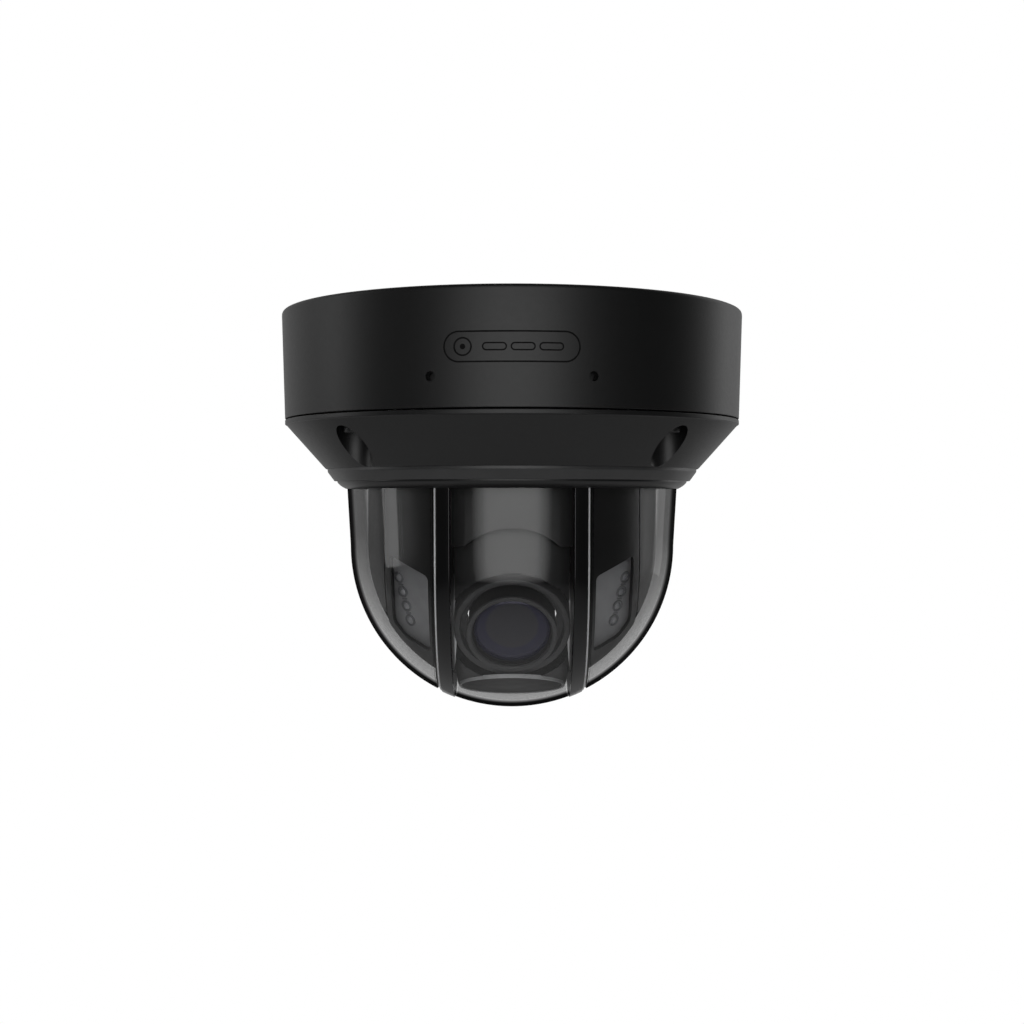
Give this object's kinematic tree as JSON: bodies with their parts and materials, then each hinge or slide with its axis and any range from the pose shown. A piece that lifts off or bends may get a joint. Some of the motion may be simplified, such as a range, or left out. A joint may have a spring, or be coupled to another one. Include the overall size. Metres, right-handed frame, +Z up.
{
  "type": "dome cctv camera",
  "caption": "Ceiling-mounted pan and tilt dome security camera with a clear ribbed bubble that turns with its lens, infra-red lamp pods and a screwed vandal-proof cover ring.",
  "frame": {"origin": "centre of the face that meets the ceiling", "axes": "+Z up out of the ceiling face, -Y the way the lens looks at rest, +X to the right as seen by someone facing the camera's front"},
  "size_m": [0.152, 0.152, 0.1301],
  "materials": {
    "painted_black": "fine satin powder coat, black",
    "moulded_black": "fine textured black moulding",
    "gloss_black": "smooth black moulding",
    "satin_grey": "satin dark grey",
    "clear_dome": "clear polished polycarbonate",
    "lens_glass": "coated optical glass",
    "steel": "zinc plated",
    "aluminium": "die cast, as machined",
    "brass": "turned",
    "rubber": "matt",
    "white_acetal": "natural acetal",
    "circuit_board": "solder mask green"
  },
  "bodies": {
    "housing": {"mount_plate": "steel", "housing_shell": "painted_black", "cable_gland": "rubber", "cover_gasket": "rubber", "cover_ring": "painted_black", "cover_screw_1": "steel", "cover_screw_2": "steel", "cover_screw_3": "steel", "cover_screw_4": "steel", "trim_ring": "painted_black", "dust_seal": "rubber", "mic_left": "aluminium", "mic_right": "aluminium", "main_board": "circuit_board", "ethernet_jack": "aluminium", "heat_sink": "aluminium", "card_slot": "steel", "reset_switch": "moulded_black", "pan_base": "aluminium", "pan_bearing_outer": "steel", "pan_motor": "steel"},
    "reset_button": {"reset_button": "white_acetal"},
    "pan_pinion": {"pan_pinion": "brass"},
    "turret": {"turret_hub": "aluminium", "pan_bearing_inner": "steel", "pan_gear": "white_acetal", "turret_disc": "moulded_black", "clamp_ring": "moulded_black", "dome_window_center": "clear_dome", "dome_window_right": "clear_dome", "dome_window_left": "clear_dome", "dome_rib_right": "gloss_black", "dome_rib_left": "gloss_black", "front_plate": "moulded_black", "rear_shroud": "moulded_black", "ir_shroud_right": "moulded_black", "ir_shroud_left": "moulded_black", "side_cap_right": "moulded_black", "side_cap_left": "moulded_black", "ir_board_right": "circuit_board", "ir_board_left": "circuit_board", "ir_window_right": "satin_grey", "ir_window_left": "satin_grey", "yoke_right": "aluminium", "yoke_left": "aluminium", "tilt_bush_right": "brass", "tilt_bush_left": "brass", "tilt_motor": "steel"},
    "tilt_pinion": {"tilt_pinion": "brass"},
    "lens_unit": {"lens_drum": "moulded_black", "lens_hood": "gloss_black", "lens_barrel": "moulded_black", "lens_rim": "satin_grey", "front_lens": "lens_glass", "belly_cover": "gloss_black", "tilt_gear": "white_acetal", "sensor_board": "circuit_board"},
    "zoom_group": {"zoom_group": "lens_glass"},
    "focus_group": {"focus_group": "lens_glass"},
    "ir_cut_filter": {"ir_cut_filter": "lens_glass"}
  },
  "joints": [
    {"name": "pan", "type": "hinge", "parent": "housing", "child": "turret", "pos_m": [0, 0, -0.0396], "axis": [0, 0, 1], "range_deg": [-175, 175]},
    {"name": "pan_pinion_spin", "type": "hinge", "parent": "housing", "child": "pan_pinion", "pos_m": [0.0348, 0, -0.0396], "axis": [0, 0, 1], "range_deg": [-841, 841]},
    {"name": "tilt", "type": "hinge", "parent": "turret", "child": "lens_unit", "pos_m": [0, 0, -0.0803], "axis": [1, 0, 0], "range_deg": [-14.5, 59]},
    {"name": "tilt_pinion_spin", "type": "hinge", "parent": "turret", "child": "tilt_pinion", "pos_m": [0.024, 0.016, -0.0803], "axis": [1, 0, 0], "range_deg": [-178, 44.5]},
    {"name": "zoom_travel", "type": "slide", "parent": "lens_unit", "child": "zoom_group", "axis": [0, -0.8572, -0.515], "range_m": [-0.003, 0.006]},
    {"name": "focus_travel", "type": "slide", "parent": "lens_unit", "child": "focus_group", "axis": [0, -0.8572, -0.515], "range_m": [-0.002, 0.003]},
    {"name": "filter_switch", "type": "slide", "parent": "lens_unit", "child": "ir_cut_filter", "axis": [1, 0, 0], "range_m": [-0.009, 0]},
    {"name": "reset_press", "type": "slide", "parent": "housing", "child": "reset_button", "axis": [0, 0, 1], "range_m": [0, 0.0008], "stiffness_N_per_m": 300}
  ],
  "couplings": [
    {"joint": "pan_pinion_spin", "follows": "pan", "ratio": -4.8},
    {"joint": "tilt_pinion_spin", "follows": "tilt", "ratio": -3}
  ]
}
